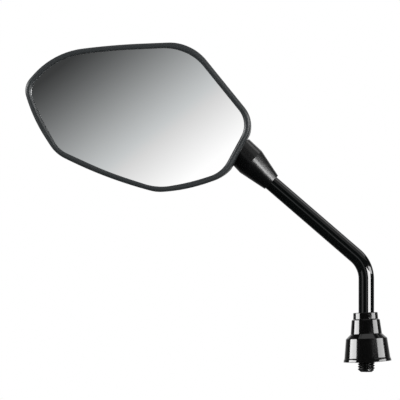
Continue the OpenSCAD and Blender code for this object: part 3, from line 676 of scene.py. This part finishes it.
def makeFloor():
    bpy.ops.mesh.primitive_circle_add(vertices=floorDisc["sides"], radius=floorDisc["radius"], fill_type="NGON",
                                      location=(floorDisc["x"], 0, floorDisc["z"]))
    floor = bpy.context.object
    floor.name = "paleFloor"
    bpy.ops.object.transform_apply(location=True)
    material = bpy.data.materials.new("paleFloor")
    material.use_nodes = True
    tree = material.node_tree
    tree.nodes.clear()
    place = tree.nodes.new("ShaderNodeTexCoord")
    centre = tree.nodes.new("ShaderNodeMapping")
    centre.inputs["Location"].default_value = (-floorDisc["x"], 0, -floorDisc["z"])
    away = tree.nodes.new("ShaderNodeVectorMath")
    away.operation = "LENGTH"
    fade = tree.nodes.new("ShaderNodeMapRange")
    fade.inputs["From Min"].default_value = floorDisc["radius"] * floorDisc["fadeFrom"]
    fade.inputs["From Max"].default_value = floorDisc["radius"] * floorDisc["fadeTo"]
    matt = tree.nodes.new("ShaderNodeBsdfDiffuse")
    matt.inputs["Color"].default_value = (floorDisc["tone"],) * 3 + (1,)
    clear = tree.nodes.new("ShaderNodeBsdfTransparent")
    mix = tree.nodes.new("ShaderNodeMixShader")
    out = tree.nodes.new("ShaderNodeOutputMaterial")
    link(tree, (place.outputs["Object"], centre.inputs["Vector"]), (centre.outputs["Vector"], away.inputs[0]),
         (away.outputs["Value"], fade.inputs["Value"]), (fade.outputs["Result"], mix.inputs["Fac"]),
         (matt.outputs["BSDF"], mix.inputs[1]), (clear.outputs["BSDF"], mix.inputs[2]),
         (mix.outputs["Shader"], out.inputs["Surface"]))
    floor.data.materials.append(material)
    floor.visible_glossy = False      # gloss sees the dark room below the mirror instead


# The world is white to the camera and soft grey to matt surfaces. Gloss sees a scrim ahead that runs from dark to
# white up a slope, a dark room around it and a pale backdrop behind; the limits are cosines from the line of sight
scrim = {"rise": math.radians(38), "dark": -0.099, "light": 0.0778, "stops": 15, "lowTone": 60, "highTone": 254,
         "ease": 0.35, "tint": (0.965, 1.0, 1.01), "neutralFrom": 0.66, "gain": 1.07, "edgeFrom": 0.9885,
         "edgeTo": 0.9915, "soft": 0.3, "room": 0.02, "backdrop": 0.3, "beside": -0.35, "behind": -0.95}


def linear(grey):      # an 8-bit screen tone as light
    return ((grey / 255 + 0.055) / 1.055) ** 2.4


def makeWorld():
    world = bpy.data.worlds.new("studio")
    bpy.context.scene.world = world
    world.use_nodes = True
    tree = world.node_tree
    tree.nodes.clear()
    add = tree.nodes.new
    place = add("ShaderNodeTexCoord")
    slope = add("ShaderNodeVectorMath")
    slope.operation = "DOT_PRODUCT"
    slope.inputs[1].default_value = (math.sin(scrim["rise"]), 0, -math.cos(scrim["rise"]))
    spread = add("ShaderNodeMapRange")
    spread.inputs["From Min"].default_value = scrim["dark"]
    spread.inputs["From Max"].default_value = scrim["light"]
    ramp = add("ShaderNodeValToRGB")
    stops = ramp.color_ramp.elements
    while len(stops) < scrim["stops"]:
        stops.new(0.5)
    for i, stop in enumerate(stops):
        at = i / (scrim["stops"] - 1)
        climb = at * (1 + scrim["ease"] - scrim["ease"] * at)      # quick at first, slower towards white
        grey = scrim["lowTone"] + (scrim["highTone"] - scrim["lowTone"]) * climb
        tint = scrim["tint"] if at < scrim["neutralFrom"] else (1, 1, 1)
        stop.position = at
        stop.color = (*(linear(grey) * scrim["gain"] * c for c in tint), 1)
    ahead = add("ShaderNodeVectorMath")
    ahead.operation = "DOT_PRODUCT"
    ahead.inputs[1].default_value = (0, -1, 0)
    window = add("ShaderNodeMapRange")
    window.interpolation_type = "SMOOTHSTEP"
    window.inputs["From Min"].default_value = scrim["edgeFrom"]
    window.inputs["From Max"].default_value = scrim["edgeTo"]
    card = add("ShaderNodeMix")
    card.data_type = "RGBA"
    room = add("ShaderNodeMapRange")
    room.interpolation_type = "SMOOTHSTEP"
    room.inputs["From Min"].default_value = scrim["behind"]
    room.inputs["From Max"].default_value = scrim["beside"]
    room.inputs["To Min"].default_value = scrim["backdrop"]
    room.inputs["To Max"].default_value = scrim["room"]
    rays = add("ShaderNodeLightPath")
    gloss = add("ShaderNodeMix")
    gloss.data_type = "RGBA"
    gloss.inputs["A"].default_value = (scrim["soft"],) * 3 + (1,)
    seen = add("ShaderNodeMix")
    seen.data_type = "RGBA"
    seen.inputs["B"].default_value = (1, 1, 1, 1)
    back = add("ShaderNodeBackground")
    out = add("ShaderNodeOutputWorld")
    link(tree, (place.outputs["Generated"], slope.inputs[0]), (slope.outputs["Value"], spread.inputs["Value"]),
         (spread.outputs["Result"], ramp.inputs["Fac"]), (place.outputs["Generated"], ahead.inputs[0]),
         (ahead.outputs["Value"], window.inputs["Value"]), (ahead.outputs["Value"], room.inputs["Value"]),
         (room.outputs["Result"], card.inputs["A"]), (window.outputs["Result"], card.inputs["Factor"]),
         (ramp.outputs["Color"], card.inputs["B"]), (rays.outputs["Is Glossy Ray"], gloss.inputs["Factor"]),
         (card.outputs["Result"], gloss.inputs["B"]), (rays.outputs["Is Camera Ray"], seen.inputs["Factor"]),
         (gloss.outputs["Result"], seen.inputs["A"]), (seen.outputs["Result"], back.inputs["Color"]),
         (back.outputs["Background"], out.inputs["Surface"]))


# Soft boxes by their direction from the middle: azimuth from the camera towards +X, elevation, size, power
boxAim = {"middle": Vector((-0.03, 0, 0.06)), "distance": 2.7}
softBoxes = {
    "rightBox": {"azimuth": 47, "elevation": 4, "width": 1.82, "height": 0.6, "watts": 70},
    "rightHighBox": {"azimuth": 80, "elevation": 13.5, "width": 2.0, "height": 0.55, "watts": 34},
    "leftBox": {"azimuth": -80.5, "elevation": 14, "width": 2.12, "height": 1.0, "watts": 105},
    "lowLeftBox": {"azimuth": -58, "elevation": -7, "width": 1.26, "height": 0.75, "watts": 2.4},
    "topBox": {"azimuth": 20, "elevation": 78, "width": 2.4, "height": 2.4, "watts": 14},
    "edgeBox": {"azimuth": 112, "elevation": 44, "width": 1.0, "height": 0.9, "watts": 5},
    "edgeFillBox": {"azimuth": 65, "elevation": 43, "width": 2.2, "height": 1.2, "watts": 4},
    "backBox": {"azimuth": 180, "elevation": 15, "width": 2.7, "height": 2.2, "watts": 12},
}


def makeLights():
    for name, box in softBoxes.items():
        a, e = math.radians(box["azimuth"]), math.radians(box["elevation"])
        away = Vector((math.sin(a) * math.cos(e), -math.cos(a) * math.cos(e), math.sin(e)))
        bpy.ops.object.light_add(type="AREA", location=boxAim["middle"] + away * boxAim["distance"])
        lamp = bpy.context.object
        lamp.name = name
        lamp.data.shape = "RECTANGLE"
        lamp.data.size = box["width"]
        lamp.data.size_y = box["height"]
        lamp.data.energy = box["watts"]
        lamp.visible_camera = False
        lamp.rotation_mode = "QUATERNION"
        lamp.rotation_quaternion = away.to_track_quat("Z", "Y")


makeCamera()
makeFloor()
makeWorld()
makeLights()
bpy.context.scene.view_settings.view_transform = "Standard"
print("studio set")
